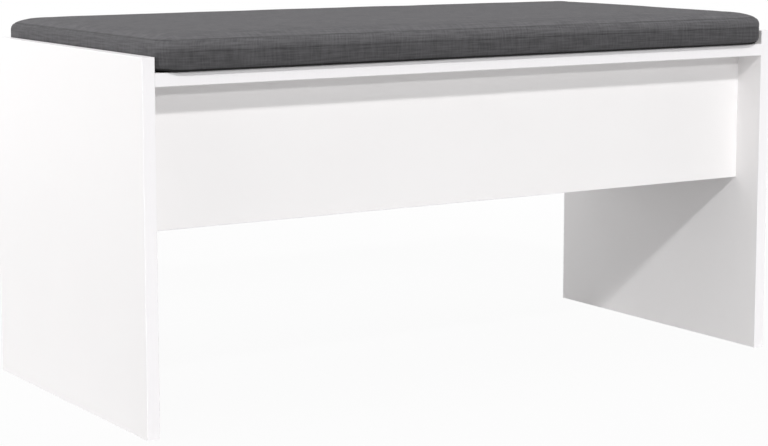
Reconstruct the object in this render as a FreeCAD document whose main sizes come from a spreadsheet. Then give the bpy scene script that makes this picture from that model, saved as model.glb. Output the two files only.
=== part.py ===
import FreeCAD, Part
import math
import os
import re
import Sketcher

# An entry bench: two side panels, a seat board and two rails of melamine-faced chipboard with glued edge
# strips, held by cam bolts, cam locks and dowels, and a loose seat cushion of foam in a sewn cover.
# Millimetres. +X runs along the bench, the front faces -Y, +Z is up, and the floor is at zero.

SIZES = {
    # Boards
    "bench_width": 960,
    "bench_depth": 440,
    "panel_height": 446,
    "panel_thickness": 16,
    "seat_thickness": 16,
    "seat_recess": 18.5,
    "rail_thickness": 16,
    "rail_height": 174,
    "rail_setback": 46,
    # Edge strips
    "strip_thickness": 1,
    "strip_round": 0.7,
    # Cam bolts and cam locks
    "fit_clearance": 0.1,
    "bolt_thread_diameter": 6,
    "bolt_thread_length": 11,
    "bolt_shank_diameter": 7,
    "bolt_neck_diameter": 4,
    "bolt_head_diameter": 6.6,
    "bolt_head_length": 3.2,
    "bolt_tip_chamfer": 1,
    "tunnel_clearance": 0.5,
    "cam_diameter": 14.8,
    "cam_hole_depth": 12.5,
    "cam_sink": 0.5,
    "cam_reach": 34,
    "cam_bore_clearance": 0.3,
    "cam_recess_diameter": 4.2,
    "cam_recess_depth": 2.5,
    "cam_slot_length": 9,
    "cam_slot_width": 1.4,
    "cap_diameter": 18,
    "cap_thickness": 1.2,
    "cap_edge": 0.4,
    "cap_stub_diameter": 3.8,
    "cap_stub_length": 1.5,
    # Dowels
    "dowel_diameter": 8,
    "dowel_length": 30,
    "dowel_chamfer": 1,
    "dowel_seat": 10,
    "dowel_play": 0.8,
    # How far the fittings stand in from the edges of the boards
    "seat_cam_edge": 120,
    "seat_dowel_edge": 25,
    "rail_cam_edge": 37,
    "rail_dowel_end": 164,
    # Cushion
    "cushion_side_gap": 2,
    "cushion_overhang": 5.5,
    "cushion_forward": 2.5,
    "cushion_corner": 17,
    "cushion_side_draw": 1.5,
    "cushion_band_height": 37,
    "cushion_foot_height": 5,
    "cushion_foot_inset": 3.5,
    "cushion_seam_inset": 1.6,
    "cushion_shoulder_rise": 5.5,
    "cushion_shoulder_run": 12,
    "cushion_crown": 2,
    "cushion_crown_flat": 80,
    "cloth_thickness": 1,
    "foam_clearance": 0.3,
}

# Places worked out from the sizes
PLACES = {
    "inner_width": "bench_width - 2 * panel_thickness",
    "inner_side": "inner_width / 2",
    "core_front": "strip_thickness - bench_depth / 2",
    "core_depth": "bench_depth - 2 * strip_thickness",
    "core_height": "panel_height - 2 * strip_thickness",
    "seat_top": "panel_height - seat_recess",
    "seat_bottom": "seat_top - seat_thickness",
    "seat_middle": "seat_top - seat_thickness / 2",
    "rail_bottom": "seat_bottom - rail_height",
    "rail_core_bottom": "rail_bottom + strip_thickness",
    "rail_core_height": "rail_height - strip_thickness",
    "rail_middle": "seat_bottom - rail_height / 2",
    "rail_line": "bench_depth / 2 - rail_setback - rail_thickness / 2",
    "seat_cam_line": "bench_depth / 2 - seat_cam_edge",
    "seat_dowel_line": "bench_depth / 2 - seat_dowel_edge",
    "rail_cam_line": "rail_height / 2 - rail_cam_edge",
    "rail_dowel_line": "inner_side - rail_dowel_end",
    "thread_hole": "bolt_thread_diameter + 2 * fit_clearance",
    "bolt_tunnel": "bolt_shank_diameter + 2 * tunnel_clearance",
    "cam_hole": "cam_diameter + 2 * fit_clearance",
    "cam_height": "cam_hole_depth - cam_sink",
    "cam_bore": "bolt_head_diameter + 2 * cam_bore_clearance",
    "dowel_hole": "dowel_diameter + 2 * fit_clearance",
    "dowel_reach": "dowel_length - dowel_seat",
    "cushion_half_length": "inner_side - cushion_side_gap",
    "cushion_half_depth": "bench_depth / 2 + cushion_overhang",
    "cushion_shoulder_inset": "cushion_seam_inset + cushion_shoulder_run",
    "cushion_crown_run": "cushion_half_depth - cushion_shoulder_inset - cushion_crown_flat / 2",
}

# Where the cushion's lofts have their rings: shares of each stretch, and degrees round the shoulder
FOOT_SHARES = (0, 0.15, 0.45, 1)
BELLY_SHARES = (0.4, 0.75, 1)
SHOULDER_DEGREES = (0, 22, 45, 68, 90)
CROWN_SHARES = (0.35, 0.7, 1)

# How close two places count as the same one
TOUCH = 1e-6

# Directions
RIGHT = FreeCAD.Vector(1, 0, 0)
BACK = FreeCAD.Vector(0, 1, 0)
UP = FreeCAD.Vector(0, 0, 1)
LEFT, FRONT, DOWN = -RIGHT, -BACK, -UP

doc = FreeCAD.newDocument("EntryBench")
sheet = doc.addObject("Spreadsheet::Sheet", "Sizes")
for row, (alias, number) in enumerate(SIZES.items(), start=1):
    sheet.set(f"A{row}", alias)
    sheet.set(f"B{row}", str(number))
    sheet.setAlias(f"B{row}", alias)
doc.recompute()

nodes = []


def formula(text):
    """Turns a formula in size and place names into one that reads the sheet."""
    def swap(match):
        word = match.group(0)
        if word in PLACES:
            return f"({formula(PLACES[word])})"
        return f"Sizes.{word}" if word in SIZES else word
    return re.sub(r"[a-z_]+", swap, text)


def value(text):
    """The present number of a formula."""
    return float(sheet.evalExpression(formula(text)))


def bind(thing, name, text):
    thing.setExpression(name, formula(text))


def place(thing, point, x_axis=RIGHT, z_axis=UP):
    """Puts a thing's origin at a point of three formulas, turned to the given axes."""
    turn = FreeCAD.Rotation(x_axis, z_axis.cross(x_axis), z_axis, "ZXY")
    thing.Placement = FreeCAD.Placement(FreeCAD.Vector(), turn)
    for axis, text in zip("xyz", point):
        bind(thing, f"Placement.Base.{axis}", text)


def moved(point, direction, distance):
    """A point moved by a distance along one of the six directions."""
    return [text if step == 0 else f"{text} + {step:.0f} * ({distance})"
            for text, step in zip(point, direction)]


# Drawing and feature helpers

def new_body(label):
    body = doc.addObject("PartDesign::Body", label)
    body.Label = label
    return body


def new_sketch(body, role, offset="0"):
    drawing = body.newObject("Sketcher::SketchObject", f"{body.Name}_sketch")
    plane = next(feature for feature in body.Origin.OriginFeatures if feature.Role == role)
    drawing.AttachmentSupport = [(plane, "")]
    drawing.MapMode = "FlatFace"
    bind(drawing, "AttachmentOffset.Base.z", offset)
    return drawing


def fix_point(drawing, geometry, point, across, along):
    """Ties one point of a sketch to the sketch's origin."""
    for kind, text, axis in (("DistanceX", across, -2), ("DistanceY", along, -1)):
        if text == "0":
            drawing.addConstraint(Sketcher.Constraint("PointOnObject", geometry, point, axis))
        else:
            index = drawing.addConstraint(Sketcher.Constraint(kind, -1, 1, geometry, point, value(text)))
            bind(drawing, f"Constraints[{index}]", text)


def draw_polygon(drawing, points):
    corners = [FreeCAD.Vector(value(across), value(along), 0) for across, along in points]
    first = drawing.GeometryCount
    count = len(corners)
    for index in range(count):
        drawing.addGeometry(Part.LineSegment(corners[index], corners[(index + 1) % count]))
    for index in range(count):
        following = first + (index + 1) % count
        drawing.addConstraint(Sketcher.Constraint("Coincident", first + index, 2, following, 1))
        fix_point(drawing, first + index, 1, *points[index])


def draw_circles(drawing, centres, diameter):
    for across, along in centres:
        middle = FreeCAD.Vector(value(across), value(along), 0)
        circle = drawing.addGeometry(Part.Circle(middle, UP, value(diameter) / 2))
        fix_point(drawing, circle, 3, across, along)
        index = drawing.addConstraint(Sketcher.Constraint("Diameter", circle, value(diameter)))
        bind(drawing, f"Constraints[{index}]", diameter)


def add_feature(body, kind, drawing, length, backwards=False):
    feature = body.newObject(f"PartDesign::{kind}", f"{body.Name}_{kind.lower()}")
    feature.Profile = drawing
    feature.Reversed = backwards
    bind(feature, "Length", length)
    return feature


def drill(body, role, offset, centres, diameter, depth, along_normal):
    """Round holes in one plane: they go along the plane's normal or against it."""
    drawing = new_sketch(body, role, offset)
    draw_circles(drawing, centres, diameter)
    add_feature(body, "Pocket", drawing, depth, along_normal)


def padded_box(label, length, depth, height):
    """A body with one corner at its origin."""
    body = new_body(label)
    drawing = new_sketch(body, "XY_Plane")
    draw_polygon(drawing, [("0", "0"), (length, "0"), (length, depth), ("0", depth)])
    add_feature(body, "Pad", drawing, height)
    return body


def turned_body(label, points):
    """A body of revolution about its own Z from a profile of radius and height."""
    body = new_body(label)
    drawing = new_sketch(body, "XZ_Plane")
    draw_polygon(drawing, points)
    feature = body.newObject("PartDesign::Revolution", f"{body.Name}_revolution")
    feature.Profile = drawing
    feature.ReferenceAxis = (drawing, ["V_Axis"])
    feature.Angle = 360
    return body


def group(label, members):
    """Identical pieces in one node, each a separate solid."""
    bundle = doc.addObject("Part::Compound", label)
    bundle.Label = label
    bundle.Links = members
    nodes.append(bundle)


# Where the fittings stand on the side panels: each entry is a place along Y and a height

SEAT_BOLTS = [(f"{side} * seat_cam_line", "seat_middle") for side in (-1, 1)]
SEAT_DOWELS = [(f"{step} * seat_dowel_line", "seat_middle") for step in (-1, 0, 1)]
RAIL_DOWEL_STEPS = (-1, 0, 1)


def rail_bolts(side):
    return [(f"{side} * rail_line", f"rail_middle + {step} * rail_cam_line") for step in (-1, 1)]


def rail_end_dowels(side):
    return [(f"{side} * rail_line", "rail_middle")]


PANEL_BOLTS = SEAT_BOLTS + rail_bolts(-1) + rail_bolts(1)
PANEL_DOWELS = SEAT_DOWELS + rail_end_dowels(-1) + rail_end_dowels(1)


# Side panels

def on_panel(points):
    return [(f"{along} - (core_front)", f"{height} - strip_thickness") for along, height in points]


def side_panel(label, side):
    panel = padded_box(label, "panel_thickness", "core_depth", "core_height")
    inner_face = "panel_thickness" if side < 0 else "0"
    into_panel = side > 0
    drill(panel, "YZ_Plane", inner_face, on_panel(PANEL_BOLTS), "thread_hole",
          "bolt_thread_length + fit_clearance", into_panel)
    drill(panel, "YZ_Plane", inner_face, on_panel(PANEL_DOWELS), "dowel_hole",
          "dowel_seat + dowel_play", into_panel)
    left_edge = "-bench_width / 2" if side < 0 else "inner_side"
    place(panel, [left_edge, "core_front", "strip_thickness"])
    nodes.append(panel)


# Seat board and rails

def drill_ends(board, bolts, dowels):
    """Tunnels for the bolts and holes for the dowels in both ends of a board."""
    for offset, inwards in (("0", True), ("inner_width", False)):
        drill(board, "YZ_Plane", offset, bolts, "bolt_tunnel", "cam_reach", inwards)
        drill(board, "YZ_Plane", offset, dowels, "dowel_hole", "dowel_reach + dowel_play", inwards)


def seat_board():
    board = padded_box("seat_board", "inner_width", "core_depth", "seat_thickness")
    across = [f"{along} - (core_front)" for along, height in SEAT_BOLTS]
    middle = "seat_thickness / 2"
    drill_ends(board, [(along, middle) for along in across],
               [(f"{along} - (core_front)", middle) for along, height in SEAT_DOWELS])
    cams = [(reach, along) for reach in ("cam_reach", "inner_width - cam_reach") for along in across]
    drill(board, "XY_Plane", "0", cams, "cam_hole", "cam_hole_depth", True)
    rail_holes = [(f"inner_side + {step} * rail_dowel_line", f"{side} * rail_line - (core_front)")
                  for side in (-1, 1) for step in RAIL_DOWEL_STEPS]
    drill(board, "XY_Plane", "0", rail_holes, "dowel_hole", "dowel_seat + dowel_play", True)
    place(board, ["-inner_side", "core_front", "seat_bottom"])
    nodes.append(board)


def rail(label, side):
    board = padded_box(label, "inner_width", "rail_thickness", "rail_core_height")
    middle = "rail_thickness / 2"
    heights = [f"{height} - (rail_core_bottom)" for along, height in rail_bolts(side)]
    drill_ends(board, [(middle, height) for height in heights],
               [(middle, f"{height} - (rail_core_bottom)") for along, height in rail_end_dowels(side)])
    cams = [(reach, height) for reach in ("cam_reach", "inner_width - cam_reach") for height in heights]
    inner_face = "-rail_thickness" if side < 0 else "0"
    drill(board, "XZ_Plane", inner_face, cams, "cam_hole", "cam_hole_depth", side < 0)
    top_holes = [(f"inner_side + {step} * rail_dowel_line", middle) for step in RAIL_DOWEL_STEPS]
    drill(board, "XY_Plane", "rail_core_height", top_holes, "dowel_hole", "dowel_reach + dowel_play", False)
    place(board, ["-inner_side", f"{side} * rail_line - rail_thickness / 2", "rail_core_bottom"])
    nodes.append(board)


# Edge strips: local X across the board, local Y outwards, so the strip runs along X cross Y

def edge_strip(label, width, length, corner, across, outwards):
    strip = padded_box(label, width, "strip_thickness", length)
    doc.recompute()
    outer = value("strip_thickness")
    pad = strip.Tip
    rounded = []
    for index, edge in enumerate(pad.Shape.Edges, start=1):
        box = edge.BoundBox
        if abs(box.YMin - outer) < TOUCH and box.ZLength > box.XLength:
            rounded.append(f"Edge{index}")
    fillet = strip.newObject("PartDesign::Fillet", f"{label}_fillet")
    fillet.Base = (pad, rounded)
    bind(fillet, "Radius", "min(strip_round; 0.9 * strip_thickness)")
    place(strip, corner, across, across.cross(outwards))
    nodes.append(strip)


def panel_strips(name, left_edge):
    front, rear = "core_front", "-(core_front)"
    low, high = "strip_thickness", "panel_height - strip_thickness"
    edge_strip(f"{name}_front_strip", "panel_thickness", "panel_height", [left_edge, front, "panel_height"],
               RIGHT, FRONT)
    edge_strip(f"{name}_rear_strip", "panel_thickness", "panel_height", [left_edge, rear, "0"], RIGHT, BACK)
    edge_strip(f"{name}_top_strip", "panel_thickness", "core_depth", [left_edge, rear, high], RIGHT, UP)
    edge_strip(f"{name}_bottom_strip", "panel_thickness", "core_depth", [left_edge, front, low], RIGHT, DOWN)


def seat_strips():
    left_front = ["-inner_side", "core_front", "seat_bottom"]
    right_rear = ["inner_side", "-(core_front)", "seat_bottom"]
    edge_strip("seat_front_strip", "seat_thickness", "inner_width", left_front, UP, FRONT)
    edge_strip("seat_rear_strip", "seat_thickness", "inner_width", right_rear, UP, BACK)


def rail_strip(label, side):
    corner = ["inner_side", f"{side} * rail_line - rail_thickness / 2", "rail_core_bottom"]
    edge_strip(label, "rail_thickness", "inner_width", corner, BACK, DOWN)


# Fittings, each drawn about its own Z

def dowel(label):
    """Z runs from the end in the panel."""
    radius, chamfer, length = "dowel_diameter / 2", "dowel_chamfer", "dowel_length"
    return turned_body(label, [
        ("0", "0"), (f"{radius} - {chamfer}", "0"), (radius, chamfer), (radius, f"{length} - {chamfer}"),
        (f"{radius} - {chamfer}", length), ("0", length)])


def cam_bolt(label):
    """Z runs from the threaded tip, and the shoulder stands on the panel."""
    thread, shank = "bolt_thread_diameter / 2", "bolt_shank_diameter / 2"
    neck, head = "bolt_neck_diameter / 2", "bolt_head_diameter / 2"
    shoulder = "bolt_thread_length"
    shank_end = f"{shoulder} + cam_reach - cam_diameter / 2 - tunnel_clearance"
    head_start = f"{shoulder} + cam_reach - bolt_head_length / 2"
    head_end = f"{shoulder} + cam_reach + bolt_head_length / 2"
    return turned_body(label, [
        ("0", "0"), (f"{thread} - bolt_tip_chamfer", "0"), (thread, "bolt_tip_chamfer"), (thread, shoulder),
        (shank, shoulder), (shank, shank_end), (neck, shank_end), (neck, head_start), (head, head_start),
        (head, head_end), ("0", head_end)])


def cam_lock(label, board_thickness):
    """Z runs into the board from the slotted face, and the bolt comes in along X."""
    lock = new_body(label)
    drawing = new_sketch(lock, "XY_Plane")
    draw_circles(drawing, [("0", "0")], "cam_diameter")
    add_feature(lock, "Pad", drawing, "cam_height")
    drill(lock, "YZ_Plane", "-bolt_head_length / 2 - cam_bore_clearance",
          [("0", f"{board_thickness} / 2 - cam_sink")], "cam_bore", "cam_diameter", True)
    drill(lock, "XY_Plane", "0", [("0", "0")], "cam_recess_diameter", "cam_recess_depth", True)
    for length, width in (("cam_slot_length", "cam_slot_width"), ("cam_slot_width", "cam_slot_length")):
        slot = new_sketch(lock, "XY_Plane")
        draw_polygon(slot, [(f"-{length} / 2", f"-{width} / 2"), (f"{length} / 2", f"-{width} / 2"),
                            (f"{length} / 2", f"{width} / 2"), (f"-{length} / 2", f"{width} / 2")])
        add_feature(lock, "Pocket", slot, "cam_recess_depth", True)
    return lock


def cover_cap(label):
    """Z runs from the outer face to the end of the stub, which pushes into the cam lock's recess."""
    rim, stub = "cap_diameter / 2", "cap_stub_diameter / 2"
    stub_end = "cap_thickness + cam_sink + cap_stub_length"
    return turned_body(label, [
        ("0", "0"), (f"{rim} - cap_edge", "0"), (rim, "cap_edge"), (rim, "cap_thickness"),
        (stub, "cap_thickness"), (stub, stub_end), ("0", stub_end)])


def end_fittings(name, bolts, dowels, thickness, into_board):
    """Bolts, locks, caps and dowels at both ends of the seat board or a rail."""
    made = {"cam_bolts": [], "cam_locks": [], "cam_caps": [], "dowels": []}
    for end, panel_side, inwards in (("left", "-inner_side", RIGHT), ("right", "inner_side", LEFT)):
        for index, (along, height) in enumerate(bolts):
            start = [panel_side, along, height]
            bolt = cam_bolt(f"{name}_bolt_{end}_{index}")
            place(bolt, moved(start, -inwards, "bolt_thread_length"), into_board, inwards)
            centre = moved(start, inwards, "cam_reach")
            lock = cam_lock(f"{name}_lock_{end}_{index}", thickness)
            place(lock, moved(centre, -into_board, f"{thickness} / 2 - cam_sink"), -inwards, into_board)
            cap = cover_cap(f"{name}_cap_{end}_{index}")
            place(cap, moved(centre, -into_board, f"{thickness} / 2 + cap_thickness"), -inwards, into_board)
            made["cam_bolts"].append(bolt)
            made["cam_locks"].append(lock)
            made["cam_caps"].append(cap)
        for index, (along, height) in enumerate(dowels):
            peg = dowel(f"{name}_dowel_{end}_{index}")
            place(peg, moved([panel_side, along, height], -inwards, "dowel_seat"), into_board, inwards)
            made["dowels"].append(peg)
    for kind, members in made.items():
        group(f"{name}_{kind}", members)


def rail_top_dowels(label, side):
    pegs = []
    for index, step in enumerate(RAIL_DOWEL_STEPS):
        peg = dowel(f"{label}_{index}")
        foot = [f"{step} * rail_dowel_line", f"{side} * rail_line", "seat_bottom"]
        place(peg, moved(foot, UP, "dowel_seat"), RIGHT, DOWN)
        pegs.append(peg)
    group(label, pegs)


# Cushion: lofts through flat outlines with slightly drawn-in sides and round corners

def cushion_outline(inset, height):
    """A closed outline, inset from the cushion's widest one."""
    half_length = value("cushion_half_length") - inset
    half_depth = value("cushion_half_depth") - inset
    corner = value("cushion_corner")
    draw = value("cushion_side_draw")
    bend = corner * (1 - math.sqrt(0.5))
    edges = []
    for x_sign, y_sign in ((1, -1), (1, 1), (-1, 1), (-1, -1)):
        x_end, y_end = x_sign * half_length, y_sign * half_depth
        before = FreeCAD.Vector(x_end - x_sign * corner, y_end, height)
        after = FreeCAD.Vector(x_end, y_end - y_sign * corner, height)
        middle = FreeCAD.Vector(x_end - x_sign * bend, y_end - y_sign * bend, height)
        if x_sign * y_sign < 0:
            next_start = FreeCAD.Vector(x_end, -y_end + y_sign * corner, height)
            side_middle = FreeCAD.Vector(x_end - x_sign * draw, 0, height)
            edges.append(Part.Arc(before, middle, after).toShape())
            edges.append(Part.Arc(after, side_middle, next_start).toShape())
        else:
            next_start = FreeCAD.Vector(-x_end + x_sign * corner, y_end, height)
            side_middle = FreeCAD.Vector(0, y_end - y_sign * draw, height)
            edges.append(Part.Arc(after, middle, before).toShape())
            edges.append(Part.Arc(before, side_middle, next_start).toShape())
    return Part.Wire(edges)


def cushion_loft(rings):
    """A closed solid through rings of inset and height, straight from ring to ring."""
    return Part.makeLoft([cushion_outline(inset, height) for inset, height in rings], True, True)


def band_inset(height):
    """How far the band's outside stands in from the widest outline: round foot, belly, tight seam."""
    foot_height = value("cushion_foot_height")
    if height < foot_height:
        lift = 1 - height / foot_height
        return value("cushion_foot_inset") * (1 - math.sqrt(1 - lift ** 2))
    rise = (height - foot_height) / (value("cushion_band_height") - foot_height)
    return value("cushion_seam_inset") * rise ** 3


def band_rings(inward, lowest):
    """Rings of the band from a lowest height to the seam, moved inwards by a thickness."""
    foot, seam = value("cushion_foot_height"), value("cushion_band_height")
    heights = [lowest + (foot - lowest) * share for share in FOOT_SHARES]
    heights += [foot + (seam - foot) * share for share in BELLY_SHARES]
    return [(band_inset(height) + inward, height) for height in heights]


def top_rings(inward):
    """Rings of the top from the seam over the shoulder to the crown, moved inwards by a thickness."""
    rise, run = value("cushion_shoulder_rise"), value("cushion_shoulder_run")
    seam, seam_inset = value("cushion_band_height"), value("cushion_seam_inset")
    rings = []
    for degrees in SHOULDER_DEGREES:
        sine, cosine = math.sin(math.radians(degrees)), math.cos(math.radians(degrees))
        rings.append((seam_inset + run * (1 - cosine) + inward * cosine, seam + rise * sine - inward * sine))
    for share in CROWN_SHARES:
        climb = value("cushion_crown") * (1 - (1 - share) ** 2)
        inset = value("cushion_shoulder_inset") + value("cushion_crown_run") * share
        rings.append((inset, seam + rise + climb - inward))
    return rings


def cushion_piece(label, shape):
    piece = doc.addObject("Part::Feature", label)
    piece.Label = label
    piece.Shape = shape
    place(piece, ["0", "-cushion_forward", "seat_top"])
    nodes.append(piece)


def sewn_cloth(outer, inner, closed_top):
    """A layer of cloth between two lofts: open at the foot, and at the top unless it is closed."""
    walls, feet, tops = [], [], []
    for loft in (outer, inner):
        flat = [face for face in loft.Faces if isinstance(face.Surface, Part.Plane)]
        foot, top = sorted(flat, key=lambda face: face.CenterOfMass.z)
        walls += [face for face in loft.Faces if not isinstance(face.Surface, Part.Plane)]
        feet.append(foot.OuterWire)
        tops.append(top)
    ends = tops if closed_top else [Part.Face([top.OuterWire for top in tops])]
    layer = Part.Solid(Part.Shell(walls + [Part.Face(feet)] + ends))
    layer.fix(TOUCH, TOUCH, TOUCH)
    return layer


def cushion():
    cloth = value("cloth_thickness")
    inside = value("cloth_thickness + foam_clearance")
    base_inset = value("cushion_foot_inset + cloth_thickness")
    base = Part.Face(cushion_outline(base_inset, 0)).extrude(FreeCAD.Vector(0, 0, cloth))
    band = sewn_cloth(cushion_loft(band_rings(0, 0)), cushion_loft(band_rings(cloth, 0)), False)
    top = sewn_cloth(cushion_loft(top_rings(0)), cushion_loft(top_rings(cloth)), True)
    foam = cushion_loft(band_rings(inside, inside)[:-1] + top_rings(inside))
    cushion_piece("cushion_base_cloth", base)
    cushion_piece("cushion_side_band", band)
    cushion_piece("cushion_top_cloth", top)
    cushion_piece("cushion_foam_core", foam)


# The bench

side_panel("left_side_panel", -1)
side_panel("right_side_panel", 1)
seat_board()
rail("front_rail", -1)
rail("rear_rail", 1)
panel_strips("left_panel", "-bench_width / 2")
panel_strips("right_panel", "inner_side")
seat_strips()
rail_strip("front_rail_strip", -1)
rail_strip("rear_rail_strip", 1)
end_fittings("seat", SEAT_BOLTS, SEAT_DOWELS, "seat_thickness", UP)
end_fittings("front_rail", rail_bolts(-1), rail_end_dowels(-1), "rail_thickness", FRONT)
end_fittings("rear_rail", rail_bolts(1), rail_end_dowels(1), "rail_thickness", BACK)
rail_top_dowels("front_rail_top_dowels", -1)
rail_top_dowels("rear_rail_top_dowels", 1)
cushion()
doc.recompute()

# Nothing is written unless every object is sound and every pocket cuts

for item in doc.Objects:
    if "Invalid" in item.State or "Error" in item.State:
        raise RuntimeError(f"{item.Label} failed: {item.State}")
    if item.TypeId == "PartDesign::Pocket" and item.Shape.Volume >= item.BaseFeature.Shape.Volume:
        raise RuntimeError(f"{item.Label} cuts nothing")
for node in nodes:
    if node.Shape.isNull() or not node.Shape.isValid():
        raise RuntimeError(f"{node.Label} has no valid shape")

os.makedirs("parts", exist_ok=True)
for node in nodes:
    node.Shape.exportStep(f"parts/{node.Label}.step")
    print(f"{node.Label}: {len(node.Shape.Solids)} solids, {node.Shape.Volume:.0f} cubic millimetres")
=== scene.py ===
import bmesh
import bpy
import math
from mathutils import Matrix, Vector, noise


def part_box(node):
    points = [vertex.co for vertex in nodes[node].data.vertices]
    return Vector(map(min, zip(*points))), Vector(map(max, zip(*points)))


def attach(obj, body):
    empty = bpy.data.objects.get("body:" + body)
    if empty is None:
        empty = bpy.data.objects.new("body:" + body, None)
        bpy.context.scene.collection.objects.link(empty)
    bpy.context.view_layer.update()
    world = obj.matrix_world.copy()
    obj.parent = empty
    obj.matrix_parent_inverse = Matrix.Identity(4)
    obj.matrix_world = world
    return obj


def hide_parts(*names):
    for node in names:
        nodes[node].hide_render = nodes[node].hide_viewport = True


# The looks of an entry bench: white melamine-faced boards with edge strips, their fittings, and a loose
# charcoal cushion of foam in a sewn cover. Metres, in the frame's own axes: the front faces -Y, +Z is up.

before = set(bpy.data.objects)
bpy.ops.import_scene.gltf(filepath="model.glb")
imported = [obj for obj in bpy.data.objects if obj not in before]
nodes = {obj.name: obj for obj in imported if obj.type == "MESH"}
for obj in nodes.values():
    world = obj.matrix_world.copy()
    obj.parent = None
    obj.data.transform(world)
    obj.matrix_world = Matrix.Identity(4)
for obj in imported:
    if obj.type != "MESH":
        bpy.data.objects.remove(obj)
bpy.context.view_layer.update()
scene = bpy.context.scene

MM = 0.001


# Shader nodes

class Value:
    """One output of a node. Arithmetic on it adds Math nodes."""

    def __init__(self, paint, socket):
        self.paint = paint
        self.socket = socket

    def __add__(self, other):
        return self.paint.math("ADD", self, other)

    def __sub__(self, other):
        return self.paint.math("SUBTRACT", self, other)

    def __rsub__(self, other):
        return self.paint.math("SUBTRACT", other, self)

    def __mul__(self, other):
        return self.paint.math("MULTIPLY", self, other)

    __radd__ = __add__
    __rmul__ = __mul__


class Paint:
    """The nodes of a material or of the world."""

    def __init__(self, owner):
        self.owner = owner
        owner.use_nodes = True
        self.tree = owner.node_tree
        self.tree.nodes.clear()

    def add(self, kind, settings, sockets, output=0):
        """A node with its settings, then the values or links of its sockets. Gives one of its outputs."""
        node = self.tree.nodes.new("ShaderNode" + kind)
        for name, setting in settings.items():
            if name == "stops":
                for stop, (place, colour) in zip(node.color_ramp.elements, setting):
                    stop.position = place
                    stop.color = colour
            else:
                setattr(node, name, setting)
        for name, content in sockets.items():
            if isinstance(content, Value):
                self.tree.links.new(content.socket, node.inputs[name])
            else:
                node.inputs[name].default_value = content
        return Value(self, node.outputs[output]) if node.outputs else None

    def math(self, operation, *terms):
        return self.add("Math", {"operation": operation}, dict(enumerate(terms)))

    def between(self, value, low, high):
        """From 0 at low to 1 at high, smoothly, and level outside."""
        sockets = {"Value": value, "From Min": low, "From Max": high}
        return self.add("MapRange", {"interpolation_type": "SMOOTHSTEP"}, sockets)

    def mix(self, factor, first, second):
        """A colour between two."""
        return self.add("Mix", {"data_type": "RGBA"}, {0: factor, 6: first, 7: second}, output=2)

    def scaled(self, vector, scale):
        """Coordinates multiplied axis by axis."""
        return self.add("Mapping", {}, {"Vector": vector, "Scale": scale})

    def cloud(self, vector, scale=1.0, detail=2.0, roughness=0.5):
        sockets = {"Vector": vector, "Scale": scale, "Detail": detail, "Roughness": roughness}
        return self.add("TexNoise", {}, sockets)

    def bump(self, height, strength, distance):
        return self.add("Bump", {}, {"Height": height, "Strength": strength, "Distance": distance})

    def surface(self, **sockets):
        """The finished surface: socket names are written with underscores for spaces."""
        named = {name.replace("_", " "): content for name, content in sockets.items()}
        shader = self.add("BsdfPrincipled", {}, named)
        self.add("OutputMaterial", {}, {"Surface": shader})
        return self.owner


def new_paint(name):
    return Paint(bpy.data.materials.new(name))


def grey(level, green=0.0, blue=0.0):
    """A near-neutral colour, with a share taken off its green and blue."""
    return (level, level * (1 - green), level * (1 - blue), 1)


def object_place(paint):
    return paint.add("TexCoord", {}, {}, output="Object")


def split(paint, vector, axis):
    return paint.add("SeparateXYZ", {}, {"Vector": vector}, output=axis)


# Board finishes

def melamine():
    """Satin white board face: faint clouding and a fine pearl grain in the pressed surface."""
    paint = new_paint("white_melamine")
    place = object_place(paint)
    clouds = paint.cloud(place, scale=7, detail=4)
    pearl = paint.cloud(place, scale=700, detail=3, roughness=0.6)
    colour = paint.mix(clouds, grey(0.875, 0.018, 0.018), grey(0.9, 0.016, 0.016))
    return paint.surface(
        Base_Color=colour, Roughness=0.4 + 0.12 * clouds, Normal=paint.bump(pearl, 0.12, 0.1 * MM),
        Specular_IOR_Level=0.35)


def edge_strip():
    """Glued plastic edging: smoother than the faces, with faint scraper marks across its corners."""
    paint = new_paint("white_edge_strip")
    place = object_place(paint)
    marks = paint.cloud(paint.scaled(place, (40, 40, 6)), scale=12, detail=3)
    colour = paint.mix(marks, grey(0.9, 0.018, 0.003), grey(0.93, 0.016, 0.001))
    return paint.surface(
        Base_Color=colour, Roughness=0.32 + 0.14 * marks, Normal=paint.bump(marks, 0.08, 0.1 * MM),
        Specular_IOR_Level=0.4)


def cap_plastic():
    """Moulded white caps with a fine spark-eroded texture."""
    paint = new_paint("white_cap")
    place = object_place(paint)
    grain = paint.cloud(place, scale=1500)
    colour = paint.mix(grain, grey(0.83, 0.01, 0.02), grey(0.88, 0.008, 0.015))
    return paint.surface(Base_Color=colour, Roughness=0.45 + 0.1 * grain,
                         Normal=paint.bump(grain, 0.2, 0.1 * MM))


def zinc():
    """Die-cast zinc with a dull mottled plating."""
    paint = new_paint("zinc_casting")
    place = object_place(paint)
    mottle = paint.cloud(place, scale=320, detail=5, roughness=0.6)
    colour = paint.mix(mottle, grey(0.42, 0.01, 0.02), grey(0.62, 0.02, 0.04))
    return paint.surface(Base_Color=colour, Metallic=1.0, Roughness=0.3 + 0.25 * mottle,
                         Normal=paint.bump(mottle, 0.25, 0.1 * MM))


def beech():
    """Turned beech with short flecks along the grain."""
    paint = new_paint("beech_dowel")
    place = object_place(paint)
    along = paint.scaled(place, (60, 900, 900))
    fleck = paint.cloud(along, detail=4, roughness=0.65)
    colour = paint.mix(fleck, (0.56, 0.36, 0.19, 1), (0.74, 0.53, 0.32, 1))
    return paint.surface(Base_Color=colour, Roughness=0.5 + 0.2 * fleck,
                         Normal=paint.bump(fleck, 0.2, 0.1 * MM))


# Cushion sizes, from its solids and its own make. Heights are above the seat board.

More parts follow.
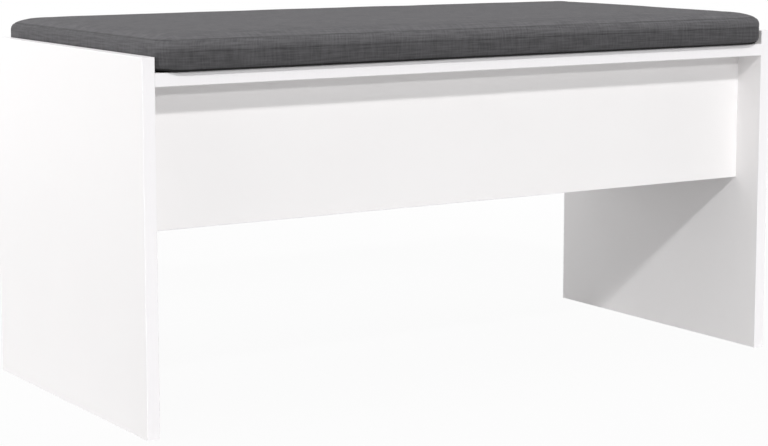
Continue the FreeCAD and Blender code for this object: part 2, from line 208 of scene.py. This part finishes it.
BAND_LOW, BAND_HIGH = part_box("cushion_side_band")
SEAT_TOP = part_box("seat_board")[1].z
MIDDLE = (BAND_LOW + BAND_HIGH) / 2
HALF_LENGTH = (BAND_HIGH.x - BAND_LOW.x) / 2
HALF_DEPTH = (BAND_HIGH.y - BAND_LOW.y) / 2
CORNER = 17 * MM

# Heights of the sewn lines, of the widest part and of the top
SEAM = BAND_HIGH.z - SEAT_TOP
CREASE = 23 * MM
BELLY = 17 * MM
CROWN_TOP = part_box("cushion_top_cloth")[1].z - SEAT_TOP

# Base cloth, the cover's foot above it, and the foam's gap above it
BASE_CLOTH = 2.2 * MM
BASE_INSET = 0.5 * MM
RIM_LIFT = 0.8 * MM
FOOT_HEIGHT = 6 * MM
FOOT_INSET = 1.6 * MM
LOWER_LEAN = 0.2 * MM
COVER_GAP = 0.05 * MM
FOAM_GAP = 1.5 * MM

# Rolled upper edge
EDGE_TOP = CROWN_TOP - 1 * MM
EDGE_RUN = 20 * MM
EDGE_DROP = 15 * MM

# Sewn lines, and the rings beside one, in widths of the line
SEAM_DEPTH = 0.8 * MM
CREASE_DEPTH = 0.7 * MM
SEWN_WIDTH = 0.8 * MM
RINGS_BESIDE = (-2.2, -1.1, -0.4, 0.4, 1.1, 2.2)

# How the sides and corners settle
SIDE_DRAW = 0.4 * MM
CORNER_EASE = 200 * MM
CORNER_DROOP = 1 * MM
FOOT_EASE = 30 * MM
FOOT_TUCK = 5 * MM
FOOT_LIFT = 3 * MM
TUCK_HEIGHT = 12 * MM

# Mesh
MESH_STEP = 7.5 * MM
ROLL_STEPS = 7
SIDE_STEPS = 4
FOOT_STEPS = 5

# Filling, its unevenness and the puckers beside the seam
FILLING_PRESSURE = 4
SWELL_FRAMES = 20
SWELL_LIMIT = 1.4 * MM
LUMP_HEIGHT = 0.5 * MM
LUMPS_PER_METRE = 14
PUCKER_HEIGHT = 0.25 * MM
PUCKER_WIDTH = 6 * MM
PUCKERS_PER_METRE = 75


# Cushion cloths

# A wave texture of this scale has a period of 1 mm
YARN_SCALE = 314

# Shares of the weave's parts, and how much livelier the upper strip is than the lower one
SLUB_SHARE = 0.4
PATCH_SHARE = 0.14
YARN_SHARE = 0.06
STRIP_CONTRAST = 0.25

# Tones of the seat cloth, on the way from its darkest colour at 0 to its palest at 1
PLAIN_TONE = 0.18
# Painted light: the top paler, as if lit more from above
TOP_PAINTED_LIGHT = 0.14
# Painted highlight on the rounded rim just above the seam
RIM_PAINTED_LIGHT = 0.06
# Painted light down the upper strip of the front and rear, paler towards the seam
UPPER_STRIP_PAINTED_LIGHT = 0.029
# Painted shade on the lower strip of the front and rear, below the crease
LOWER_STRIP_PAINTED_SHADE = -0.11
# Painted shade at the foot of the front and rear
FOOT_PAINTED_SHADE = -0.08
# Painted light on the ends, strongest near their foot, against the shade beside the side boards
END_PAINTED_LIGHT = 0.09
END_FOOT_LIGHT_SHARE = 1.6
# Painted shade along the grooves of the seam and the crease
SEAM_PAINTED_SHADE = -0.2
CREASE_PAINTED_SHADE = -0.09
LINE_CORE = 0.3 * MM
LINE_EDGE = 1.2 * MM


def sewn_line(paint, height, line):
    """1 on a sewn line at a height above the seat board, else 0."""
    away = paint.math("ABSOLUTE", height - (SEAT_TOP + line))
    return 1 - paint.between(away, LINE_CORE, LINE_EDGE)


def seat_cloth():
    """Heathered charcoal linen look of uneven crossing yarns, with painted light on the top, its rim, the
    upper strips and the ends, and painted shade on the lower strips, at the foot and along the sewn lines.
    """
    paint = new_paint("charcoal_seat_cloth")
    cloth = paint.add("UVMap", {"uv_map": "weave"}, {})
    place = object_place(paint)
    height = split(paint, place, "Z")
    weft_slub = paint.cloud(paint.scaled(cloth, (28, 420, 1)), detail=3, roughness=0.6)
    warp_slub = paint.cloud(paint.scaled(cloth, (420, 40, 1)), detail=3, roughness=0.6)
    patches = paint.cloud(paint.scaled(cloth, (24, 24, 1)))
    slub = 0.6 * paint.between(weft_slub, 0.3, 0.7) + 0.4 * paint.between(warp_slub, 0.3, 0.7)
    weft = paint.add("TexWave", {"wave_type": "BANDS", "bands_direction": "Y"},
                     {"Vector": cloth, "Scale": YARN_SCALE, "Distortion": 2.5, "Detail": 1})
    warp = paint.add("TexWave", {"wave_type": "BANDS", "bands_direction": "X"},
                     {"Vector": cloth, "Scale": YARN_SCALE, "Distortion": 2.5, "Detail": 1})
    yarn = paint.math("MAXIMUM", weft, warp)
    seam = SEAT_TOP + SEAM
    crease = SEAT_TOP + CREASE
    from_middle = paint.math("ABSOLUTE", split(paint, place, "Y") - MIDDLE.y)
    long_side = paint.between(from_middle, HALF_DEPTH - CORNER, HALF_DEPTH - CORNER / 2)
    # Painted light on the top, as if lit more from above
    on_top = paint.between(height, seam - 1 * MM, seam + 1 * MM)
    # Painted highlight on the rim just above the seam
    rim = on_top * (1 - paint.between(height, seam + 2 * MM, seam + 6 * MM))
    below_seam = 1 - on_top
    # Painted light on the upper strip of the front and rear, paler towards the seam
    upper_strip_light = long_side * below_seam * paint.between(height, crease - 3 * MM, seam + 4 * MM)
    # Painted shade on the lower strip of the front and rear, below the crease
    lower_strip_shade = long_side * (1 - paint.between(height, crease - 4 * MM, crease + 6 * MM))
    # Painted shade at the foot of the front and rear, where the cloth rolls under
    foot = long_side * (1 - paint.between(height, SEAT_TOP + 1 * MM, SEAT_TOP + 8 * MM))
    # Painted light on the ends, strongest near their foot
    up_end = paint.between(height, SEAT_TOP + 4 * MM, seam - 4 * MM)
    end_light = (1 - long_side) * below_seam * (END_FOOT_LIGHT_SHARE - up_end)
    # Painted shade in the grooves of the seam and the crease
    seam_shade = sewn_line(paint, height, SEAM)
    crease_shade = long_side * sewn_line(paint, height, CREASE)
    weaving = SLUB_SHARE * slub + PATCH_SHARE * patches + YARN_SHARE * yarn
    tone = PLAIN_TONE + weaving * (1 + STRIP_CONTRAST * (upper_strip_light - lower_strip_shade))
    parts = ((on_top, TOP_PAINTED_LIGHT), (rim, RIM_PAINTED_LIGHT), (upper_strip_light, UPPER_STRIP_PAINTED_LIGHT), (lower_strip_shade, LOWER_STRIP_PAINTED_SHADE),
             (foot, FOOT_PAINTED_SHADE), (end_light, END_PAINTED_LIGHT), (seam_shade, SEAM_PAINTED_SHADE), (crease_shade, CREASE_PAINTED_SHADE))
    for part, change in parts:
        tone = tone + change * part
    stops = [(0, grey(0.03, 0.02, -0.025)), (1, grey(0.18, 0.02, -0.025))]
    colour = paint.add("ValToRGB", {"stops": stops}, {"Fac": tone})
    return paint.surface(Base_Color=colour, Roughness=0.84 + 0.12 * patches,
                         Normal=paint.bump(yarn + 0.6 * slub, 0.45, 0.3 * MM),
                         Sheen_Weight=0.016, Sheen_Roughness=0.5, Specular_IOR_Level=0.1)


def base_cloth():
    """Black spun-bonded lining with a pressed dot pattern, made near black so that its rim also stands in
    for the shade line under the cushion's front.
    """
    paint = new_paint("black_base_cloth")
    place = object_place(paint)
    fibre = paint.cloud(place, scale=900, detail=4, roughness=0.65)
    dots = paint.add("TexVoronoi", {"feature": "F1"}, {"Vector": place, "Scale": 420, "Randomness": 0.15})
    colour = paint.mix(fibre, grey(0.006), grey(0.02))
    return paint.surface(Base_Color=colour, Roughness=0.8 + 0.15 * fibre,
                         Normal=paint.bump(dots + 0.4 * fibre, 0.4, 0.2 * MM), Specular_IOR_Level=0.2)


def foam():
    """Pale open-cell foam."""
    paint = new_paint("pale_foam")
    place = object_place(paint)
    cells = paint.add("TexVoronoi", {"feature": "F1"}, {"Vector": place, "Scale": 900})
    colour = paint.mix(cells, (0.74, 0.70, 0.58, 1), (0.86, 0.83, 0.73, 1))
    return paint.surface(Base_Color=colour, Roughness=0.9 + 0.08 * cells,
                         Normal=paint.bump(cells, 0.6, 0.5 * MM))


# Cushion outlines

def core_of(inset):
    """Half sizes of the rectangle between the corner centres of an outline."""
    return HALF_LENGTH - CORNER - inset, HALF_DEPTH - CORNER - inset


def clamp(number, low, high):
    return max(low, min(high, number))


def shifted(point, old_inset, new_inset):
    """Moves a point from one outline to another: the straight sides change length, the corners don't."""
    moved = []
    for place, old, new in zip(point, core_of(old_inset), core_of(new_inset)):
        inner = clamp(place, -old, old)
        moved.append(inner * new / old + place - inner)
    return moved


def rounded(point, inset):
    """Bends the corner squares of a rectangular grid into quarter discs."""
    cores = core_of(inset)
    reach = [(abs(place) - core) / CORNER for place, core in zip(point, cores)]
    if min(reach) <= 0:
        return point
    turned = []
    for place, core, share, other in zip(point, cores, reach, reversed(reach)):
        turned.append(math.copysign(core + CORNER * share * math.sqrt(1 - other ** 2 / 2), place))
    return turned


def cornerness(point, ease):
    """0 along the sides and in the middle, rising smoothly to 1 at a corner."""
    share = 1.0
    for place, half in zip(point, (HALF_LENGTH, HALF_DEPTH)):
        near = clamp((abs(place) - half + ease) / ease, 0, 1)
        share *= near * near * (3 - 2 * near)
    return share


def settled(point):
    """Sides drawn in between the corners, drooping top corners, a foot tucked up and in at the corners,
    and a crease along the front and rear."""
    x, y, height = point
    long_side = clamp((abs(y) - HALF_DEPTH + CORNER) / CORNER, 0, 1)
    crease = CREASE_DEPTH * math.exp(-((height - CREASE) / SEWN_WIDTH) ** 2) * long_side
    y -= math.copysign(crease, y)
    x -= SIDE_DRAW * x / HALF_LENGTH * max(0, 1 - (y / HALF_DEPTH) ** 2)
    y -= SIDE_DRAW * y / HALF_DEPTH * max(0, 1 - (x / HALF_LENGTH) ** 2)
    above_crease = clamp((height - CREASE) / (CROWN_TOP - CREASE), 0, 1)
    droop = CORNER_DROOP * cornerness((x, y), CORNER_EASE) * above_crease ** 2
    tuck = cornerness((x, y), FOOT_EASE) * max(0, 1 - height / TUCK_HEIGHT) ** 2
    inwards = Vector((x, y)).normalized() * FOOT_TUCK * tuck
    return x - inwards.x, y - inwards.y, height - droop + FOOT_LIFT * tuck


# Cushion forms: a grid on top, rings down the sides and the same grid below

def sewn_form(name, rings):
    """A closed form through rings of inset and height, from the top one down, with weave coordinates."""
    shape = bmesh.new()
    along = shape.verts.layers.float.new("along")
    down = shape.verts.layers.float.new("down")
    inset_of = shape.verts.layers.float.new("inset")
    weave = shape.loops.layers.uv.new("weave")
    first_inset, first_height = rings[0]
    half_x = HALF_LENGTH - first_inset
    half_y = HALF_DEPTH - first_inset
    bmesh.ops.create_grid(shape, x_segments=round(2 * half_x / MESH_STEP),
                          y_segments=round(2 * half_y / MESH_STEP), size=1)
    for vert in shape.verts:
        flat = rounded((vert.co.x * half_x, vert.co.y * half_y), first_inset)
        vert.co = (*flat, first_height)
        vert[inset_of] = first_inset
    sheet = list(shape.faces)
    rim_length = measure_rim(shape, along)
    rim = [edge for edge in shape.edges if edge.is_boundary]
    walls = []
    length = 0.0
    for (old_inset, old_height), (inset, height) in zip(rings, rings[1:]):
        made = bmesh.ops.extrude_edge_only(shape, edges=rim)["geom"]
        rim = [item for item in made if isinstance(item, bmesh.types.BMEdge) and item.is_boundary]
        walls.append([item for item in made if isinstance(item, bmesh.types.BMFace)])
        length += math.hypot(inset - old_inset, height - old_height)
        for vert in {vert for edge in rim for vert in edge.verts}:
            vert.co = (*shifted(vert.co.xy, old_inset, inset), height)
            vert[down] = length
            vert[inset_of] = inset
    last_inset, last_height = rings[-1]
    copies = bmesh.ops.duplicate(shape, geom=sheet)["geom"]
    under = [item for item in copies if isinstance(item, bmesh.types.BMFace)]
    for vert in {vert for face in under for vert in face.verts}:
        vert.co = (*shifted(vert.co.xy, first_inset, last_inset), last_height)
    lay_weave(sheet + under, walls, rings, weave, along, down, inset_of, rim_length)
    bmesh.ops.remove_doubles(shape, verts=shape.verts, dist=0.01 * MM)
    bmesh.ops.recalc_face_normals(shape, faces=shape.faces)
    for vert in shape.verts:
        vert.co = settled(vert.co)
    bmesh.ops.translate(shape, verts=shape.verts, vec=(MIDDLE.x, MIDDLE.y, SEAT_TOP))
    for face in shape.faces:
        face.smooth = True
    for layer in (along, down, inset_of):
        shape.verts.layers.float.remove(layer)
    mesh = bpy.data.meshes.new(name)
    shape.to_mesh(mesh)
    shape.free()
    piece = bpy.data.objects.new(name, mesh)
    scene.collection.objects.link(piece)
    return piece


def measure_rim(shape, along):
    """Writes the distance walked along the sheet's rim to each of its points, and gives its length."""
    start = min((vert for vert in shape.verts if vert.is_boundary), key=lambda vert: vert.co.x - vert.co.y)
    edge = next(edge for edge in start.link_edges if edge.is_boundary)
    vert = start
    walked = 0.0
    while True:
        vert[along] = walked
        walked += edge.calc_length()
        vert = edge.other_vert(vert)
        if vert is start:
            return walked
        edge = next(other for other in vert.link_edges if other.is_boundary and other is not edge)


def lay_weave(sheets, walls, rings, weave, along, down, inset_of, rim_length):
    """Weave coordinates in metres: flat on the panels and over the shoulder, and running round the band."""
    first_inset = rings[0][0]
    for face in sheets:
        for loop in face.loops:
            loop[weave].uv = loop.vert.co.xy
    for (_, height), faces in zip(rings[1:], walls):
        for face in faces:
            longest = max(loop.vert[along] for loop in face.loops)
            for loop in face.loops:
                vert = loop.vert
                if height > SEAM - SEWN_WIDTH / 2:
                    loop[weave].uv = shifted(vert.co.xy, vert[inset_of], first_inset - vert[down])
                else:
                    wraps = longest - vert[along] > HALF_LENGTH
                    loop[weave].uv = (vert[along] + wraps * rim_length, vert[down])


# Cushion profiles

def side_inset(height):
    """How far the side stands in: a little at the foot, then upright, then an elliptical roll to the top."""
    if height < BELLY:
        return LOWER_LEAN * ((BELLY - height) / (BELLY - FOOT_HEIGHT)) ** 2
    share = clamp((height - EDGE_TOP + EDGE_DROP) / EDGE_DROP, 0, 1)
    return EDGE_RUN * (1 - math.sqrt(1 - share ** 2))


def sewn_depth(height):
    """The extra depth of the seam at a height."""
    return SEAM_DEPTH * math.exp(-((height - SEAM) / SEWN_WIDTH) ** 2)


def steps(low, high, count):
    """Evenly spaced numbers between two, without the two."""
    return [low + (high - low) * step / count for step in range(1, count)]


def cover_rings():
    """The cover's rings, from the edge of its flat top down to the base cloth."""
    beside = [offset * SEWN_WIDTH for offset in RINGS_BESIDE]
    heights = [line + offset for line in (SEAM, CREASE) for offset in beside]
    seam_angle = math.acos((SEAM + beside[-1] - EDGE_TOP + EDGE_DROP) / EDGE_DROP)
    for angle in [0] + steps(0, seam_angle, ROLL_STEPS):
        heights.append(EDGE_TOP - EDGE_DROP * (1 - math.cos(angle)))
    heights += steps(CREASE + beside[-1], SEAM + beside[0], SIDE_STEPS)
    heights += steps(FOOT_HEIGHT, CREASE + beside[0], SIDE_STEPS) + [FOOT_HEIGHT]
    rings = []
    for height in sorted(heights, reverse=True):
        rings.append((side_inset(height) + sewn_depth(height), height))
    for angle in steps(0, math.pi / 2, FOOT_STEPS) + [math.pi / 2]:
        height = BASE_CLOTH + (FOOT_HEIGHT - BASE_CLOTH) * (1 - math.sin(angle))
        rings.append((LOWER_LEAN + FOOT_INSET * (1 - math.cos(angle)), height))
    return rings


def base_rings():
    """A thin sheet whose rim turns up and shows as a black line below the cover's foot: part the lining's
    own edge, part a stand-in for the shade under the cushion's front.
    """
    top = BASE_CLOTH - COVER_GAP
    profile = ((1.5, top), (0.2, top), (0, (top + RIM_LIFT) / 2),
               (0.3, RIM_LIFT), (4, 0.6 * RIM_LIFT), (9, 0))
    return [(BASE_INSET + inset * MM, height) for inset, height in profile]


def foam_rings():
    """The foam stands clear of the cover all round."""
    low = BASE_CLOTH + FOAM_GAP
    profile = ((12, SEAM), (9.5, SEAM - 0.8 * MM), (8.5, SEAM - 3 * MM),
               (6.5, low + 5 * MM), (7.5, low + 1.5 * MM), (10, low))
    return [(inset * MM, height) for inset, height in profile]


def held_by_stitches(height):
    """Whether the filling can't move the cloth: at the sewn lines, the foot and the base."""
    near_line = min(abs(height - SEAM), abs(height - CREASE)) < SEWN_WIDTH / 2
    return near_line or height < FOOT_HEIGHT


def swell(cover):
    """Fills the cover by a cloth simulation under pressure and keeps a limited part of the movement."""
    held = cover.vertex_groups.new(name="stitches")
    still = [vert.index for vert in cover.data.vertices if held_by_stitches(vert.co.z - SEAT_TOP)]
    held.add(still, 1.0, "REPLACE")
    cloth = cover.modifiers.new("filling", "CLOTH")
    cloth.settings.use_pressure = True
    cloth.settings.uniform_pressure_force = FILLING_PRESSURE
    cloth.settings.effector_weights.gravity = 0
    cloth.settings.vertex_group_mass = held.name
    cloth.point_cache.frame_end = SWELL_FRAMES
    for number in range(1, SWELL_FRAMES + 1):
        scene.frame_set(number)
    filled = cover.evaluated_get(bpy.context.evaluated_depsgraph_get())
    moves = [after.co - before.co for after, before in zip(filled.data.vertices, cover.data.vertices)]
    cover.modifiers.remove(cloth)
    cover.vertex_groups.remove(held)
    scene.frame_set(1)
    for vert, move in zip(cover.data.vertices, moves):
        if move.length > 0:
            vert.co += move.normalized() * SWELL_LIMIT * math.tanh(move.length / SWELL_LIMIT)


def ripple(cover):
    """Slight unevenness of the filling, and puckers beside the seam."""
    outwards = [vert.normal.copy() for vert in cover.data.vertices]
    for vert, normal in zip(cover.data.vertices, outwards):
        height = vert.co.z - SEAT_TOP
        if height < FOOT_HEIGHT:
            continue
        lump = noise.noise(vert.co * LUMPS_PER_METRE) * LUMP_HEIGHT
        beside_seam = math.exp(-((height - SEAM) / PUCKER_WIDTH) ** 2)
        pucker = noise.noise(vert.co * PUCKERS_PER_METRE) * PUCKER_HEIGHT * beside_seam
        vert.co += normal * (lump + pucker)


def cushion():
    """The cover, the base cloth and the foam, which stand for the cushion's four solids."""
    cover = sewn_form("cushion_cover", cover_rings())
    base = sewn_form("cushion_base", base_rings())
    core = sewn_form("cushion_foam", foam_rings())
    swell(cover)
    ripple(cover)
    made = (
        (cover, seat_cloth(), "seat_cloth", ("cushion_top_cloth", "cushion_side_band")),
        (base, base_cloth(), "base_cloth", ("cushion_base_cloth",)),
        (core, foam(), "foam", ("cushion_foam_core",)))
    for piece, finish, slot, solids in made:
        piece.data.materials.append(finish)
        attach(piece, "cushion")
        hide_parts(*solids)
    smoother = cover.modifiers.new("cloth_rounding", "SUBSURF")
    smoother.levels = 1
    smoother.render_levels = 1


# Finishes of the solids that stay

def finish_boards():
    """Gives each solid of the bench's frame the finish that its name asks for."""
    finishes = {"melamine": melamine(), "edge_strip": edge_strip(), "zinc": zinc(), "cap": cap_plastic(),
                "beech": beech()}
    for name, node in nodes.items():
        if name.startswith("cushion"):
            continue
        if name.endswith("_strip"):
            finish = finishes["edge_strip"]
        elif name.endswith("_cam_caps"):
            finish = finishes["cap"]
        elif "_cam_" in name:
            finish = finishes["zinc"]
        elif name.endswith("dowels"):
            finish = finishes["beech"]
        else:
            finish = finishes["melamine"]
        node.data.materials.clear()
        node.data.materials.append(finish)


# Studio

CAMERA_PLACE = (-1.498, -2.320, 0.617)
CAMERA_TURN = -32.61
CAMERA_PITCH = 7.53
CAMERA_LENS = 96.0
CAMERA_SHIFT = -0.061
SUN_ANGLE = math.radians(4)
FILL_SIZE = 2.5
OVERHEAD_SIZE = 3
AMBIENT = 0.245
FLOOR_SIZE = 60
FLOOR_GREY = 0.61

# How white the floor shows beside the bench, and the distances between which it fades to plain white
FLOOR_WHITE = 0.94
FADE_START = 0.8
FADE_END = 2.0


def shown_white(paint):
    """1 for rays that see the background straight, in a reflection or through glass, else 0."""
    rays = [paint.add("LightPath", {}, {}, output=name)
            for name in ("Is Camera Ray", "Is Glossy Ray", "Is Transmission Ray")]
    return paint.math("MAXIMUM", paint.math("MAXIMUM", rays[0], rays[1]), rays[2])


def add_camera():
    data = bpy.data.cameras.new("camera")
    data.sensor_width = 36
    data.lens = CAMERA_LENS
    data.shift_y = CAMERA_SHIFT
    camera = bpy.data.objects.new("camera", data)
    camera.location = CAMERA_PLACE
    camera.rotation_euler = (math.radians(90 - CAMERA_PITCH), 0, math.radians(CAMERA_TURN))
    scene.collection.objects.link(camera)
    scene.camera = camera


def add_lamp(name, kind, direction, energy, place=(0, 0, 3), **settings):
    data = bpy.data.lights.new(name, kind)
    data.energy = energy
    for setting, value in settings.items():
        setattr(data, setting, value)
    lamp = bpy.data.objects.new(name, data)
    lamp.location = place
    lamp.rotation_euler = Vector(direction).to_track_quat("-Z", "Y").to_euler()
    scene.collection.objects.link(lamp)


def add_lights():
    add_lamp("key", "SUN", (0.45, 1, -0.79), 1.52, angle=SUN_ANGLE)
    add_lamp("front_fill", "SUN", (0.0, 1, -0.313), 0.63, angle=SUN_ANGLE)
    add_lamp("left_fill", "AREA", (1, 0, -0.05), 38, place=(-3, 0, 0.65), size=FILL_SIZE)
    add_lamp("rear_fill", "AREA", (0.35, -1, -0.1), 30, place=(-1.2, 2.8, 0.8), size=FILL_SIZE)
    add_lamp("right_fill", "AREA", (-1, 0, -0.1), 36, place=(3, 0, 0.9), size=FILL_SIZE)
    add_lamp("overhead", "AREA", (0, 0, -1), 34, place=(0, 0.3, 3.2), size=OVERHEAD_SIZE)


def add_world():
    scene.world = bpy.data.worlds.new("studio")
    paint = Paint(scene.world)
    strength = AMBIENT + (1 - AMBIENT) * shown_white(paint)
    light = paint.add("Background", {}, {"Color": (1, 1, 1, 1), "Strength": strength})
    paint.add("OutputWorld", {}, {"Surface": light})


def add_floor():
    """A pale floor that keeps a soft shadow of the bench and fades to plain white away from it."""
    shape = bmesh.new()
    bmesh.ops.create_grid(shape, x_segments=1, y_segments=1, size=FLOOR_SIZE / 2)
    mesh = bpy.data.meshes.new("floor")
    shape.to_mesh(mesh)
    shape.free()
    floor = bpy.data.objects.new("floor", mesh)
    scene.collection.objects.link(floor)
    paint = new_paint("pale_floor")
    matt = paint.add("BsdfDiffuse", {}, {"Color": grey(FLOOR_GREY)})
    glow = paint.add("Emission", {}, {"Color": (1, 1, 1, 1), "Strength": 1.0})
    away = paint.add("VectorMath", {"operation": "LENGTH"}, {0: object_place(paint)}, output="Value")
    fading = FLOOR_WHITE + (1 - FLOOR_WHITE) * paint.between(away, FADE_START, FADE_END)
    share = shown_white(paint) * fading
    both = paint.add("MixShader", {}, {0: share, 1: matt, 2: glow})
    paint.add("OutputMaterial", {}, {"Surface": both})
    mesh.materials.append(paint.owner)


finish_boards()
cushion()
add_camera()
add_lights()
add_world()
add_floor()
scene.view_settings.view_transform = "Standard"
